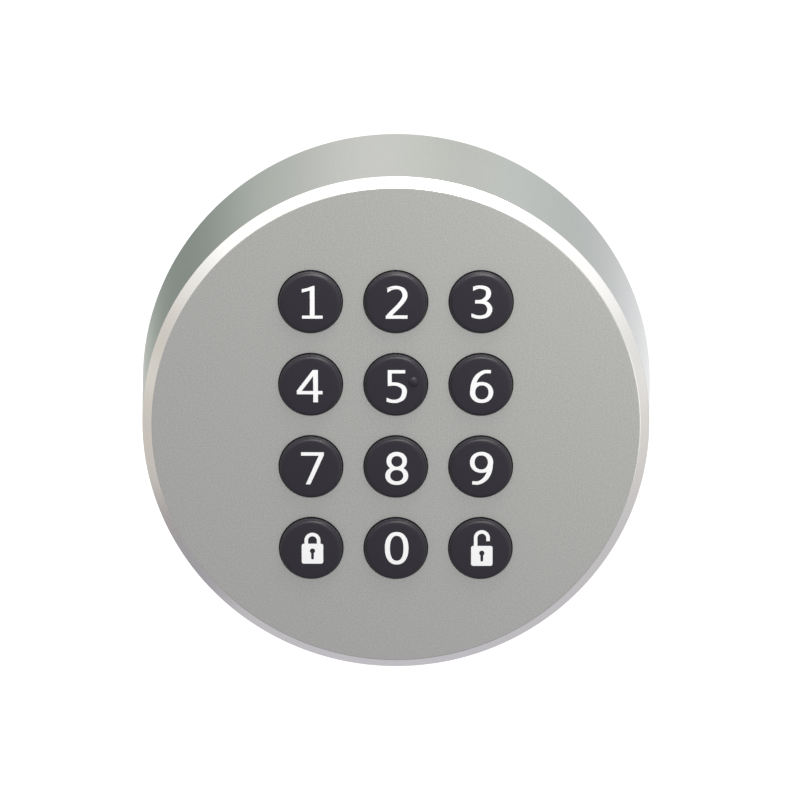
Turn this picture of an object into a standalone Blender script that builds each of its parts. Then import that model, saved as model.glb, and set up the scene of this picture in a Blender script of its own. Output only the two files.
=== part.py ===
"""Round keypad unit of a battery powered smart lock, with its wall plate.

A turned aluminium housing carries twelve sprung keys in front of a silicone key
mat and a circuit board.  A moulded frame behind the board holds four AAA cells.
The housing pushes onto the collar of a wall plate, against an O-ring, and a grub
screw at the bottom locks it there.

The unit is drawn on a bench, lying on its back: x to the right, y up the wall and
z the height above the wall.  One empty then stands it up, so that in the finished
model the wall is the plane Y = 0, the keys face -Y and +Z is up.  The origin is
the centre of the wall plate's rear face.
"""

import math

import bmesh
import bpy

MM = 0.001

# Driving dimensions.
FRONT_RADIUS = 39.0 * MM  # housing, at the outer edge of the front chamfer
BACK_RADIUS = 40.0 * MM  # the casting flares a little towards the wall
FACE_HEIGHT = 28.0 * MM  # front face above the wall
KEY_RADIUS = 4.83 * MM
KEY_PITCH = 13.05 * MM
GRID_LIFT = 0.14 * MM  # middle of the key grid above the middle of the face
KEY_PROUD = 1.3 * MM  # key top above the front face
CELL_RADIUS = 5.25 * MM  # AAA cell
CELL_LENGTH = 44.5 * MM

# Gaps between pieces.
TOUCH = 0.1 * MM  # pieces that bear on each other
SLIP = 0.4 * MM  # pieces that pass each other

# Housing.
CHAMFER = 1.5 * MM
EDGE_BREAK = 0.3 * MM
RIM_HEIGHT = 0.5 * MM  # rear rim of the housing above the wall
FACE_THICK = 3.0 * MM
BORE_RADIUS = 36.8 * MM
LEDGE_RADIUS = 35.0 * MM  # step that clamps the rim of the key mat
LEAD_IN = 0.5 * MM
FACE_BACK = FACE_HEIGHT - FACE_THICK

# Stack behind the face, as heights above the wall.
KEY_HOLE_RADIUS = KEY_RADIUS + 0.12 * MM
FLANGE_RADIUS = 5.8 * MM
FLANGE_THICK = 0.8 * MM
FLANGE_TOP = FACE_BACK - TOUCH
FLANGE_BOTTOM = FLANGE_TOP - FLANGE_THICK
DOME_TOP = FLANGE_BOTTOM - TOUCH
MAT_TOP = 22.6 * MM
MAT_BOTTOM = MAT_TOP - 1.0 * MM
BOARD_TOP = MAT_BOTTOM - TOUCH
BOARD_BOTTOM = BOARD_TOP - 1.6 * MM
FRAME_FRONT = BOARD_BOTTOM - 2 * TOUCH
BOARD_RADIUS = 36.2 * MM

# Screws that join the rear frame to the bosses inside the housing.
SCREW_CIRCLE = 30.0 * MM
SCREW_ANGLES = (0, 90, 180, 270)
BOSS_RADIUS = 3.0 * MM
BOSS_BOTTOM = 16.5 * MM
SHANK_RADIUS = 1.1 * MM
HEAD_RADIUS = 2.2 * MM
HEAD_THICK = 1.5 * MM

# Rear frame.
DECK_HEIGHT = 4.5 * MM  # its rear surface
DECK_WALL = 1.5 * MM
DECK_RADIUS = 33.9 * MM
SKIRT_RADIUS = BORE_RADIUS - SLIP
SKIRT_BACK = 9.4 * MM
TUB_FLOOR = BOSS_BOTTOM - 2 * TOUCH
SCREW_SEAT = DECK_HEIGHT + 2.0 * MM

# Battery bay.
CELL_COUNT = 4
CELL_PITCH = 10.8 * MM
CELL_HEIGHT = 9.15 * MM  # cell axis above the wall
CRADLE_RADIUS = CELL_RADIUS + 0.2 * MM
BAY_HALF_WIDTH = 21.6 * MM
BAY_HALF_LENGTH = 24.25 * MM
BAY_WALL = 1.2 * MM
RIDGE_HEIGHT = 11.5 * MM
CONTACT_THICK = 0.4 * MM
CONTACT_BUMP = 0.4 * MM
SPRING_WIRE = 0.3 * MM
CELL_END = BAY_HALF_LENGTH - CONTACT_THICK - CONTACT_BUMP - 2 * TOUCH  # positive end

# Wall plate.
PLATE_THICK = 2.4 * MM
PLATE_RADIUS = 36.5 * MM
COLLAR_OUTER = 36.3 * MM
COLLAR_INNER = 34.3 * MM
COLLAR_HEIGHT = 9.0 * MM
GROOVE_RADIUS = 34.95 * MM
GROOVE_BOTTOM = 1.7 * MM
GROOVE_TOP = 3.3 * MM
FIXING_RADIUS = 25.0 * MM
LUG_WIDTH = 5.0 * MM

# Grub screw that locks the housing to the collar.
LOCK_HEIGHT = 6.4 * MM
LOCK_RADIUS = 1.45 * MM
LOCK_LENGTH = 3.0 * MM

# Facets round a full turn.
BODY_FACETS = 72
FRAME_FACETS = 60
KEY_FACETS = 20
SMALL_FACETS = 12

KEY_NAMES = (
    ("1", "2", "3"),
    ("4", "5", "6"),
    ("7", "8", "9"),
    ("lock", "0", "unlock"),
)

# Colour, roughness and metallic value of each material.
MATERIALS = {
    "anodised_aluminium": ((0.40, 0.40, 0.38), 0.45, 1.0),
    "key_rubber": ((0.040, 0.036, 0.050), 0.55, 0.0),
    "mat_silicone": ((0.62, 0.63, 0.64), 0.60, 0.0),
    "board_laminate": ((0.02, 0.16, 0.08), 0.45, 0.0),
    "frame_plastic": ((0.035, 0.036, 0.040), 0.55, 0.0),
    "plate_plastic": ((0.050, 0.052, 0.056), 0.60, 0.0),
    "seal_rubber": ((0.015, 0.015, 0.016), 0.80, 0.0),
    "cell_jacket": ((0.09, 0.11, 0.15), 0.35, 0.3),
    "plated_steel": ((0.62, 0.62, 0.60), 0.30, 1.0),
    "chip_plastic": ((0.02, 0.02, 0.022), 0.50, 0.0),
    "led_resin": ((0.85, 0.84, 0.70), 0.30, 0.0),
}


def clear_scene():
    for obj in list(bpy.data.objects):
        bpy.data.objects.remove(obj)


def new_collection(name, parent):
    collection = bpy.data.collections.new(name)
    parent.children.link(collection)
    return collection


def make_material(name, colour, roughness, metallic):
    material = bpy.data.materials.new(name)
    material.use_nodes = True
    shader = material.node_tree.nodes["Principled BSDF"]
    shader.inputs["Base Color"].default_value = (*colour, 1.0)
    shader.inputs["Roughness"].default_value = roughness
    shader.inputs["Metallic"].default_value = metallic
    return material


class Bench:
    """The collections, the empty that stands the unit up, and the materials."""

    def __init__(self):
        self.parts = new_collection("keypad_smart_lock", bpy.context.scene.collection)
        self.cutters = new_collection("cutters", bpy.context.scene.collection)
        self.stand = bpy.data.objects.new("stand", None)
        self.stand.rotation_euler.x = math.radians(90)
        self.parts.objects.link(self.stand)
        self.materials = {
            name: make_material(name, *look) for name, look in MATERIALS.items()
        }

    def place(self, name, mesh, material, at=(0, 0, 0), turn=(0, 0, 0)):
        """Makes a visible part of the mesh."""
        obj = bpy.data.objects.new(name, mesh)
        if not mesh.materials:
            mesh.materials.append(self.materials[material])
        return self.attach(obj, self.parts, at, turn)

    def helper(self, name, mesh, group, at=(0, 0, 0), turn=(0, 0, 0)):
        """Makes a hidden solid that a Boolean adds or cuts, in a collection of its own kind."""
        obj = bpy.data.objects.new(name, mesh)
        obj.hide_render = True
        obj.display_type = "WIRE"
        return self.attach(obj, group, at, turn)

    def attach(self, obj, collection, at, turn):
        collection.objects.link(obj)
        obj.parent = self.stand
        obj.location = at
        obj.rotation_euler = turn
        return obj


def finish_mesh(name, shape):
    mesh = bpy.data.meshes.new(name)
    shape.to_mesh(mesh)
    shape.free()
    return mesh


def box_mesh(name, low, high):
    """A box between two corners."""
    shape = bmesh.new()
    bmesh.ops.create_cube(shape, size=1.0)
    for vertex in shape.verts:
        for axis in range(3):
            middle, side = (low[axis] + high[axis]) / 2, high[axis] - low[axis]
            vertex.co[axis] = middle + vertex.co[axis] * side
    return finish_mesh(name, shape)


def cone_mesh(name, bottom, top, low_radius, high_radius, facets):
    """A cylinder or a frustum that stands on z."""
    shape = bmesh.new()
    bmesh.ops.create_cone(
        shape,
        cap_ends=True,
        segments=facets,
        radius1=low_radius,
        radius2=high_radius,
        depth=top - bottom,
    )
    bmesh.ops.translate(shape, verts=shape.verts, vec=(0, 0, (top + bottom) / 2))
    return finish_mesh(name, shape)


def rod_mesh(name, bottom, top, radius, facets=SMALL_FACETS):
    return cone_mesh(name, bottom, top, radius, radius, facets)


def profile_mesh(name, points, closed=False):
    """A line of (radius, height) points for the Screw modifier."""
    shape = bmesh.new()
    verts = [shape.verts.new((radius, 0, height)) for radius, height in points]
    pairs = list(zip(verts, verts[1:]))
    if closed:
        pairs.append((verts[-1], verts[0]))
    for pair in pairs:
        shape.edges.new(pair)
    return finish_mesh(name, shape)


def turn_profile(obj, facets):
    """Revolves the object's profile about its own z axis."""
    screw = obj.modifiers.new("turned", "SCREW")
    screw.axis = "Z"
    screw.angle = math.tau
    screw.steps = screw.render_steps = facets
    screw.use_merge_vertices = True
    screw.merge_threshold = 0.00001
    screw.use_smooth_shade = False
    return obj


def arc(centre, radius, start, end, steps):
    """Points (radius, height) along an arc, both ends included, angles in degrees."""
    angles = [math.radians(start + (end - start) * i / steps) for i in range(steps + 1)]
    return [
        (centre[0] + radius * math.cos(a), centre[1] + radius * math.sin(a))
        for a in angles
    ]


def combine(obj, operation, other):
    """Adds a Boolean modifier with one helper or with a whole collection of them."""
    boolean = obj.modifiers.new(operation.lower(), "BOOLEAN")
    boolean.operation = operation
    boolean.solver = "EXACT"
    if isinstance(other, bpy.types.Collection):
        boolean.operand_type = "COLLECTION"
        boolean.collection = other
    else:
        boolean.object = other
    return obj


def on_circle(radius, degrees):
    angle = math.radians(degrees)
    return radius * math.cos(angle), radius * math.sin(angle)


def screw_places():
    return [on_circle(SCREW_CIRCLE, degrees) for degrees in SCREW_ANGLES]


def key_places():
    """(name, x, y) of every key, from the top left."""
    rows, columns = len(KEY_NAMES), len(KEY_NAMES[0])
    for row, names in enumerate(KEY_NAMES):
        for column, name in enumerate(names):
            x = (column - (columns - 1) / 2) * KEY_PITCH
            y = GRID_LIFT + ((rows - 1) / 2 - row) * KEY_PITCH
            yield name, x, y


def light_places():
    """(x, y) of the lights, one in the middle of every four keys."""
    return [
        (side * KEY_PITCH / 2, GRID_LIFT + row * KEY_PITCH)
        for row in (1, 0, -1)
        for side in (-1, 1)
    ]


def helper_group(bench, name, meshes_and_places):
    """A collection of hidden solids that one Boolean uses together."""
    group = new_collection(name, bench.cutters)
    for number, (mesh, place) in enumerate(meshes_and_places, 1):
        bench.helper(f"{name}_{number}", mesh, group, at=place)
    return group


# Housing and keys.


def make_housing(bench):
    profile = [
        (0, FACE_HEIGHT),
        (FRONT_RADIUS - CHAMFER, FACE_HEIGHT),
        (FRONT_RADIUS, FACE_HEIGHT - CHAMFER),
        (BACK_RADIUS, RIM_HEIGHT + EDGE_BREAK),
        (BACK_RADIUS - EDGE_BREAK, RIM_HEIGHT),
        (BORE_RADIUS + LEAD_IN, RIM_HEIGHT),
        (BORE_RADIUS, RIM_HEIGHT + LEAD_IN),
        (BORE_RADIUS, MAT_TOP + TOUCH),
        (LEDGE_RADIUS, MAT_TOP + TOUCH),
        (LEDGE_RADIUS, FACE_BACK),
        (0, FACE_BACK),
    ]
    housing = bench.place(
        "front_housing",
        profile_mesh("front_housing", profile),
        "anodised_aluminium",
    )
    turn_profile(housing, BODY_FACETS)

    into_face = FACE_BACK + FACE_THICK / 2
    boss = rod_mesh("boss", BOSS_BOTTOM, into_face, BOSS_RADIUS)
    bosses = helper_group(
        bench, "housing_bosses", [(boss, (x, y, 0)) for x, y in screw_places()]
    )
    combine(housing, "UNION", bosses)

    pilot = rod_mesh(
        "pilot", BOSS_BOTTOM - TOUCH, FACE_BACK, SHANK_RADIUS + 0.15 * MM, 8
    )
    hole = rod_mesh(
        "key_hole", FACE_BACK - MM, FACE_HEIGHT + MM, KEY_HOLE_RADIUS, KEY_FACETS
    )
    holes = [(pilot, (x, y, 0)) for x, y in screw_places()]
    holes += [(hole, (x, y, 0)) for _, x, y in key_places()]
    combine(housing, "DIFFERENCE", helper_group(bench, "housing_holes", holes))

    bore = bench.helper(
        "lock_screw_bore",
        rod_mesh("lock_screw_bore", 35 * MM, 42 * MM, LOCK_RADIUS + 0.15 * MM),
        bench.cutters,
        at=(0, 0, LOCK_HEIGHT),
        turn=(math.radians(90), 0, 0),
    )
    combine(housing, "DIFFERENCE", bore)


def key_profile():
    """Key cap with an elliptical shoulder and a flange that keeps it behind the face."""
    top = FACE_HEIGHT + KEY_PROUD
    width, height = 0.55 * MM, 1.0 * MM
    crown = 0.06 * MM
    shoulder = [
        (KEY_RADIUS - width + width * x, top - crown - height + height * y)
        for x, y in arc((0, 0), 1, 90, 0, 3)
    ]
    return [
        (0, top),
        *shoulder,
        (KEY_RADIUS, FLANGE_TOP),
        (FLANGE_RADIUS, FLANGE_TOP),
        (FLANGE_RADIUS, FLANGE_BOTTOM),
        (0, FLANGE_BOTTOM),
    ]


def make_keys(bench):
    mesh = profile_mesh("key_cap", key_profile())
    for name, x, y in key_places():
        key = bench.place(f"key_{name}", mesh, "key_rubber", at=(x, y, 0))
        turn_profile(key, KEY_FACETS)
        if name == "5":
            combine(key, "UNION", make_home_dot(bench, x, y))


def make_home_dot(bench, x, y):
    """The raised dot that a finger finds on the middle key."""
    shape = bmesh.new()
    bmesh.ops.create_uvsphere(shape, u_segments=12, v_segments=8, radius=0.65 * MM)
    top = FACE_HEIGHT + KEY_PROUD
    at = (x + 2.8 * MM, y + 0.7 * MM, top - 0.3 * MM)
    return bench.helper(
        "home_dot", finish_mesh("home_dot", shape), bench.cutters, at=at
    )


def make_key_mat(bench):
    """One silicone sheet with a hollow dome under every key."""
    mat = bench.place(
        "key_mat",
        rod_mesh("key_mat", MAT_BOTTOM, MAT_TOP, BOARD_RADIUS, 48),
        "mat_silicone",
    )
    sunk = MAT_TOP - 0.3 * MM
    dome = cone_mesh("dome", sunk, DOME_TOP, 4.2 * MM, 2.6 * MM, SMALL_FACETS)
    domes = [(dome, (x, y, 0)) for _, x, y in key_places()]
    combine(mat, "UNION", helper_group(bench, "mat_domes", domes))

    hollow = cone_mesh(
        "dome_hollow",
        MAT_BOTTOM - MM,
        DOME_TOP - 0.8 * MM,
        3.9 * MM,
        1.9 * MM,
        SMALL_FACETS,
    )
    window_half = 1.3 * MM
    window = box_mesh(
        "light_window",
        (-window_half, -window_half, MAT_BOTTOM - MM),
        (window_half, window_half, MAT_TOP + MM),
    )
    boss_hole = rod_mesh(
        "mat_boss_hole", MAT_BOTTOM - MM, MAT_TOP + MM, BOSS_RADIUS + 0.3 * MM
    )
    holes = [(hollow, (x, y, 0)) for _, x, y in key_places()]
    holes += [(window, (x, y, 0)) for x, y in light_places()]
    holes += [(boss_hole, (x, y, 0)) for x, y in screw_places()]
    combine(mat, "DIFFERENCE", helper_group(bench, "mat_holes", holes))


# Electronics.


def make_board(bench):
    board = bench.place(
        "main_board",
        rod_mesh("main_board", BOARD_BOTTOM, BOARD_TOP, BOARD_RADIUS, 48),
        "board_laminate",
    )
    boss_hole = rod_mesh(
        "board_boss_hole", BOARD_BOTTOM - MM, BOARD_TOP + MM, BOSS_RADIUS + 0.3 * MM
    )
    holes = [(boss_hole, (x, y, 0)) for x, y in screw_places()]
    combine(board, "DIFFERENCE", helper_group(bench, "board_holes", holes))


def make_block(bench, name, material, size, at):
    """A box shaped component, given its size and the middle of its lowest face."""
    half_x, half_y, height = size[0] / 2, size[1] / 2, size[2]
    mesh = box_mesh(name, (-half_x, -half_y, 0), (half_x, half_y, height))
    return bench.place(name, mesh, material, at=at)


def make_board_parts(bench):
    """Lights in front of the board, and the chips, radio and sounder behind it."""
    led_base = BOARD_TOP + TOUCH / 2
    led_size = (1.6 * MM, 1.6 * MM, 0.6 * MM)
    for number, (x, y) in enumerate(light_places(), 1):
        make_block(bench, f"key_light_{number}", "led_resin", led_size, (x, y, led_base))

    def behind(height):
        return BOARD_BOTTOM - TOUCH / 2 - height

    chip = (7 * MM, 7 * MM, 1.0 * MM)
    make_block(
        bench, "microcontroller", "chip_plastic", chip, (-6 * MM, 6 * MM, behind(chip[2]))
    )
    radio = (13 * MM, 9 * MM, 2.2 * MM)
    make_block(
        bench, "radio_module", "plated_steel", radio, (12 * MM, 15 * MM, behind(radio[2]))
    )
    header = (8 * MM, 4 * MM, 2.6 * MM)
    make_block(
        bench, "service_header", "frame_plastic", header, (10 * MM, -8 * MM, behind(header[2]))
    )
    sounder_height = 4.0 * MM
    sounder_radius = 4.5 * MM
    port_radius = 0.9 * MM
    bottom, top = behind(sounder_height), behind(0)
    profile = [
        (0, top),
        (sounder_radius, top),
        (sounder_radius, bottom),
        (port_radius, bottom),
        (port_radius, bottom + 0.8 * MM),
        (0, bottom + 0.8 * MM),
    ]
    sounder = bench.place(
        "sounder",
        profile_mesh("sounder", profile),
        "chip_plastic",
        at=(-27.5 * MM, 10 * MM, 0),
    )
    turn_profile(sounder, SMALL_FACETS)


# Rear frame, cells and contacts.


def cell_places():
    """(number, x, side): side is +1 where the positive end points up, else -1."""
    for index in range(CELL_COUNT):
        x = (index - (CELL_COUNT - 1) / 2) * CELL_PITCH
        yield index + 1, x, 1 if index % 2 == 0 else -1


def make_rear_frame(bench):
    """Moulded frame: a deck and skirt, hollow in front, with the battery bay let into it."""
    profile = [
        (0, FRAME_FRONT),
        (SKIRT_RADIUS, FRAME_FRONT),
        (SKIRT_RADIUS, SKIRT_BACK),
        (DECK_RADIUS, SKIRT_BACK),
        (DECK_RADIUS, DECK_HEIGHT),
        (0, DECK_HEIGHT),
    ]
    frame = bench.place(
        "rear_frame", profile_mesh("rear_frame", profile), "frame_plastic"
    )
    turn_profile(frame, FRAME_FACETS)
    combine(frame, "DIFFERENCE", make_frame_hollow(bench))

    below, above = DECK_HEIGHT - MM, FRAME_FRONT + MM
    bay = box_mesh(
        "bay",
        (-BAY_HALF_WIDTH, -BAY_HALF_LENGTH, below),
        (BAY_HALF_WIDTH, BAY_HALF_LENGTH, RIDGE_HEIGHT),
    )
    holes = [(bay, (0, 0, 0))]
    tail_slot = box_mesh("tail_slot", (-1.4 * MM, 0, CELL_HEIGHT), (1.4 * MM, MM, above))
    tail_y = BAY_HALF_LENGTH - 0.8 * MM
    outer_x = CELL_PITCH * (CELL_COUNT - 1) / 2
    holes += [(tail_slot, (side * outer_x, tail_y, 0)) for side in (-1, 1)]
    shank_hole = rod_mesh("shank_hole", below, above, SHANK_RADIUS + 0.25 * MM)
    head_well = rod_mesh("head_well", below, SCREW_SEAT, HEAD_RADIUS + 0.4 * MM)
    for x, y in screw_places():
        holes += [(shank_hole, (x, y, 0)), (head_well, (x, y, 0))]
    notch_half = LUG_WIDTH / 2 + 0.4 * MM
    notch = box_mesh(
        "lug_notch",
        (34 * MM, -notch_half, SKIRT_BACK - MM),
        (SKIRT_RADIUS + MM, notch_half, SKIRT_BACK + 2.6 * MM),
    )
    frame_holes = helper_group(bench, "frame_holes", holes)
    for number, degrees in enumerate((45, 135), 1):
        bench.helper(
            f"lug_notch_{number}", notch, frame_holes, turn=(0, 0, math.radians(degrees))
        )
    cradle = rod_mesh("cradle", -BAY_HALF_LENGTH, BAY_HALF_LENGTH, CRADLE_RADIUS, 24)
    for number, x, _ in cell_places():
        bench.helper(
            f"cradle_{number}",
            cradle,
            frame_holes,
            at=(x, 0, CELL_HEIGHT),
            turn=(math.radians(90), 0, 0),
        )
    combine(frame, "DIFFERENCE", frame_holes)


def make_frame_hollow(bench):
    """What is taken out of the frame's front: all but the walls, the bay and the screw towers."""
    above = FRAME_FRONT + MM
    profile = [
        (0, above),
        (SKIRT_RADIUS - DECK_WALL, above),
        (SKIRT_RADIUS - DECK_WALL, SKIRT_BACK + DECK_WALL),
        (DECK_RADIUS - DECK_WALL, SKIRT_BACK + DECK_WALL),
        (DECK_RADIUS - DECK_WALL, DECK_HEIGHT + DECK_WALL),
        (0, DECK_HEIGHT + DECK_WALL),
    ]
    hollow = bench.helper(
        "frame_hollow", profile_mesh("frame_hollow", profile), bench.cutters
    )
    turn_profile(hollow, FRAME_FACETS)
    half_x, half_y = BAY_HALF_WIDTH + BAY_WALL, BAY_HALF_LENGTH + BAY_WALL
    tub = box_mesh("tub", (-half_x, -half_y, 0), (half_x, half_y, TUB_FLOOR))
    tower = rod_mesh("tower", 0, TUB_FLOOR, HEAD_RADIUS + 1.5 * MM)
    kept = [(tub, (0, 0, 0))] + [(tower, (x, y, 0)) for x, y in screw_places()]
    combine(hollow, "DIFFERENCE", helper_group(bench, "frame_kept", kept))
    return hollow


def make_cells(bench):
    """AAA cells side by side, ends alternating, with the nub at the positive end."""
    nub_radius, nub_height = 1.9 * MM, 1.0 * MM
    shoulder, base = 0.35 * MM, 0.2 * MM
    top = CELL_LENGTH / 2
    profile = [
        (0, top),
        (nub_radius, top),
        (nub_radius, top - nub_height),
        (CELL_RADIUS - shoulder, top - nub_height),
        (CELL_RADIUS, top - nub_height - shoulder),
        (CELL_RADIUS, -top + base),
        (CELL_RADIUS - base, -top),
        (0, -top),
    ]
    mesh = profile_mesh("cell", profile)
    for number, x, side in cell_places():
        middle = side * (CELL_END - CELL_LENGTH / 2)
        cell = bench.place(
            f"battery_{number}",
            mesh,
            "cell_jacket",
            at=(x, middle, CELL_HEIGHT),
            turn=(math.radians(-90 * side), 0, 0),
        )
        turn_profile(cell, 16)


def make_contact(bench, name, columns, side, bump_at, tail_at=None):
    """Plated strip on the bay's end wall: side is +1 for the upper wall, -1 for the lower.

    bump_at is the x of the bump for a positive end, or None.  tail_at is the x of
    the leg that runs forward through the frame to the board, or None.
    """
    outer = BAY_HALF_LENGTH - TOUCH
    inner = outer - CONTACT_THICK
    strip_half, strip_low, strip_high = 4.2 * MM, 5.6 * MM, 11.3 * MM
    low_y, high_y = sorted((side * inner, side * outer))
    strip = box_mesh(
        name,
        (columns[0] - strip_half, low_y, strip_low),
        (columns[-1] + strip_half, high_y, strip_high),
    )
    contact = bench.place(name, strip, "plated_steel")
    added = []
    if bump_at is not None:
        bump = cone_mesh(
            f"{name}_bump",
            -CONTACT_THICK / 2,
            CONTACT_BUMP,
            2.4 * MM,
            1.5 * MM,
            SMALL_FACETS,
        )
        added.append((bump, (bump_at, side * inner, CELL_HEIGHT), side * 90))
    if tail_at is not None:
        tail = box_mesh(
            f"{name}_tail",
            (-MM, low_y, strip_high - MM),
            (MM, high_y, BOARD_BOTTOM - TOUCH),
        )
        added.append((tail, (tail_at, 0, 0), 0))
    if added:
        group = new_collection(f"{name}_added", bench.cutters)
        for number, (mesh, at, tilt) in enumerate(added, 1):
            bench.helper(
                f"{name}_added_{number}", mesh, group, at=at, turn=(math.radians(tilt), 0, 0)
            )
        combine(contact, "UNION", group)


def make_contacts(bench):
    """The strips that put the four cells in series, between two terminals on the upper wall."""
    x = [place for _, place, _ in cell_places()]
    make_contact(bench, "contact_positive", (x[0],), 1, bump_at=x[0], tail_at=x[0])
    make_contact(bench, "contact_bridge_upper", (x[1], x[2]), 1, bump_at=x[2])
    make_contact(bench, "contact_negative", (x[3],), 1, bump_at=None, tail_at=x[3])
    make_contact(bench, "contact_bridge_lower_left", (x[0], x[1]), -1, bump_at=x[1])
    make_contact(bench, "contact_bridge_lower_right", (x[2], x[3]), -1, bump_at=x[3])


def make_springs(bench):
    """Conical coil under the negative end of every cell."""
    plate_face = BAY_HALF_LENGTH - TOUCH - CONTACT_THICK
    cell_face = CELL_LENGTH - CELL_END
    start = plate_face - SPRING_WIRE - TOUCH
    end = cell_face + SPRING_WIRE + TOUCH
    turns, per_turn = 2.5, 8
    wide, narrow = 3.4 * MM, 2.2 * MM
    count = int(turns * per_turn) + 1
    for number, x, side in cell_places():
        curve = bpy.data.curves.new(f"battery_spring_{number}", "CURVE")
        curve.dimensions = "3D"
        curve.bevel_depth = SPRING_WIRE
        curve.bevel_resolution = 1
        curve.use_fill_caps = True
        line = curve.splines.new("POLY")
        line.points.add(count - 1)
        for i, point in enumerate(line.points):
            share = i / (count - 1)
            radius = wide + (narrow - wide) * share
            angle = math.tau * i / per_turn
            y = -side * (start + (end - start) * share)
            point.co = (radius * math.cos(angle), y, radius * math.sin(angle), 1)
        bench.place(
            f"battery_spring_{number}", curve, "plated_steel", at=(x, 0, CELL_HEIGHT)
        )


def make_frame_screws(bench):
    """Pan head screws from the deck into the housing's bosses, heads towards the wall."""
    end = 21.5 * MM
    seat = SCREW_SEAT - TOUCH
    round_off = 0.5 * MM
    profile = [
        (0, end),
        (SHANK_RADIUS - 0.4 * MM, end),
        (SHANK_RADIUS, end - 0.6 * MM),
        (SHANK_RADIUS, seat),
        (HEAD_RADIUS, seat),
        (HEAD_RADIUS, seat - HEAD_THICK + round_off),
        (HEAD_RADIUS - round_off, seat - HEAD_THICK),
        (0, seat - HEAD_THICK),
    ]
    mesh = profile_mesh("frame_screw", profile)
    arm, width, deep = 1.2 * MM, 0.3 * MM, 0.9 * MM
    low, high = seat - HEAD_THICK - MM, seat - HEAD_THICK + deep
    across = box_mesh("recess_across", (-arm, -width, low), (arm, width, high))
    upright = box_mesh("recess_upright", (-width, -arm, low), (width, arm, high))
    for number, (x, y) in enumerate(screw_places(), 1):
        screw = bench.place(
            f"frame_screw_{number}", mesh, "plated_steel", at=(x, y, 0)
        )
        turn_profile(screw, SMALL_FACETS)
        recess = helper_group(
            bench, f"recess_{number}", [(across, (x, y, 0)), (upright, (x, y, 0))]
        )
        combine(screw, "DIFFERENCE", recess)


# Wall plate and lock screw.


def make_wall_plate(bench):
    """Plate with a collar that the housing pushes onto, and an O-ring groove round it."""
    profile = [
        (0, PLATE_THICK),
        (COLLAR_INNER, PLATE_THICK),
        (COLLAR_INNER, COLLAR_HEIGHT),
        (COLLAR_OUTER - LEAD_IN, COLLAR_HEIGHT),
        (COLLAR_OUTER, COLLAR_HEIGHT - LEAD_IN),
        (COLLAR_OUTER, GROOVE_TOP),
        (GROOVE_RADIUS, GROOVE_TOP),
        (GROOVE_RADIUS, GROOVE_BOTTOM),
        (PLATE_RADIUS, GROOVE_BOTTOM),
        (PLATE_RADIUS, 0),
        (0, 0),
    ]
    plate = bench.place(
        "wall_plate", profile_mesh("wall_plate", profile), "plate_plastic"
    )
    turn_profile(plate, FRAME_FACETS)

    rib_half_width, rib_half_length = 1.0 * MM, 19.0 * MM
    rib = box_mesh(
        "cell_rib",
        (-rib_half_length, -rib_half_width, PLATE_THICK - MM),
        (rib_half_length, rib_half_width, CELL_HEIGHT - CELL_RADIUS - 0.3 * MM),
    )
    added = helper_group(
        bench, "plate_ribs", [(rib, (0, y, 0)) for y in (-12 * MM, 12 * MM)]
    )
    lug = box_mesh(
        "lug",
        (COLLAR_INNER + 0.4 * MM, -LUG_WIDTH / 2, COLLAR_HEIGHT - 2 * MM),
        (COLLAR_OUTER - 0.5 * MM, LUG_WIDTH / 2, COLLAR_HEIGHT + 2.4 * MM),
    )
    for number, degrees in enumerate((45, 135), 1):
        bench.helper(f"lug_{number}", lug, added, turn=(0, 0, math.radians(degrees)))
    combine(plate, "UNION", added)

    hole_radius, sink_radius, sink_depth = 2.1 * MM, 4.2 * MM, 2.0 * MM
    hole = rod_mesh("fixing_hole", -MM, PLATE_THICK + MM, hole_radius, 16)
    sink = cone_mesh(
        "fixing_sink",
        PLATE_THICK - sink_depth,
        PLATE_THICK + 0.1 * MM,
        hole_radius,
        sink_radius + 0.1 * MM,
        16,
    )
    places = [on_circle(FIXING_RADIUS, degrees) for degrees in (0, 90, 180, 270)]
    holes = [(mesh, (x, y, 0)) for x, y in places for mesh in (hole, sink)]
    combine(plate, "DIFFERENCE", helper_group(bench, "fixing_holes", holes))


def make_seals(bench):
    """O-ring in the collar's groove, and the flat gasket between the housing and the wall."""
    section = 0.7 * MM
    bpy.ops.mesh.primitive_torus_add(
        major_segments=48,
        minor_segments=6,
        major_radius=BORE_RADIUS - section - 0.15 * MM,
        minor_radius=section,
    )
    ring = bpy.context.object
    ring.name = "collar_o_ring"
    for collection in list(ring.users_collection):
        collection.objects.unlink(ring)
    ring.data.materials.append(bench.materials["seal_rubber"])
    bench.attach(ring, bench.parts, (0, 0, (GROOVE_BOTTOM + GROOVE_TOP) / 2), (0, 0, 0))

    bottom, top = 0.02 * MM, RIM_HEIGHT - 0.08 * MM
    inner, outer = PLATE_RADIUS + 0.2 * MM, BACK_RADIUS - 0.7 * MM
    profile = [(outer, top), (outer, bottom), (inner, bottom), (inner, top)]
    gasket = bench.place(
        "wall_gasket", profile_mesh("wall_gasket", profile, closed=True), "seal_rubber"
    )
    turn_profile(gasket, FRAME_FACETS)


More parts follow.
